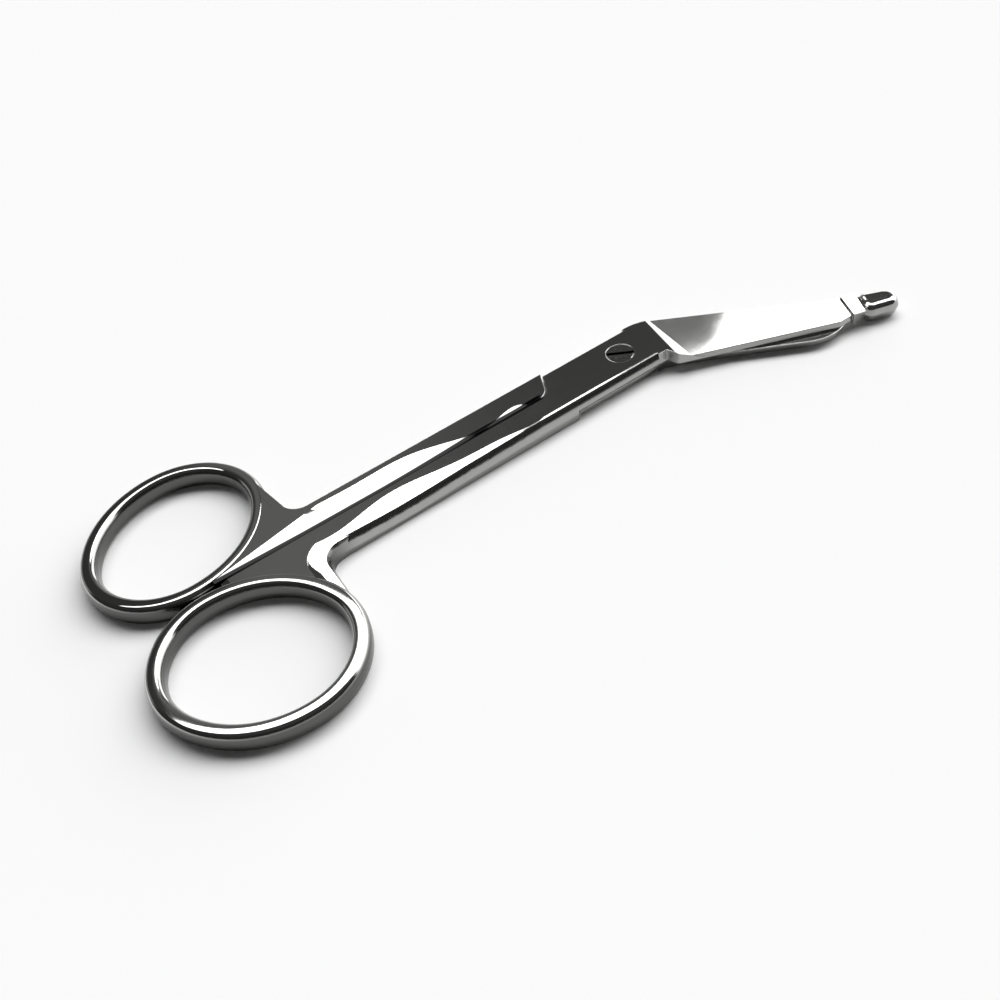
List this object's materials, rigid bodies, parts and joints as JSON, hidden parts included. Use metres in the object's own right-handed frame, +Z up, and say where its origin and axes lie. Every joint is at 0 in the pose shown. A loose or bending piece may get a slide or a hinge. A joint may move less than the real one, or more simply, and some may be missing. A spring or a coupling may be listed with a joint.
{
  "type": "bandage scissors",
  "caption": "Angled bandage scissors: two forged finger-ring halves on a slotted pivot screw, one blade ending in a blunt probe.",
  "frame": {"origin": "on the pivot axis, at the flat underside of the joint, which is the plane that the closed scissors rest on", "axes": "+X from the finger rings along the shanks towards the blades, +Y towards the ring of the plain half, +Z up out of the screw head"},
  "size_m": [0.1412, 0.0614, 0.0038],
  "materials": {
    "polished_steel": "polished stainless steel, close to a mirror",
    "screw_steel": "fine turned stainless steel"
  },
  "bodies": {
    "plain_body": {"plain_half": "polished_steel", "pivot_screw": "screw_steel"},
    "probe_body": {"probe_half": "polished_steel"}
  },
  "joints": [
    {"name": "pivot", "type": "hinge", "parent": "plain_body", "child": "probe_body", "pos_m": [0, 0, 0], "axis": [0, 0, 1], "range_deg": [0, 60]}
  ]
}
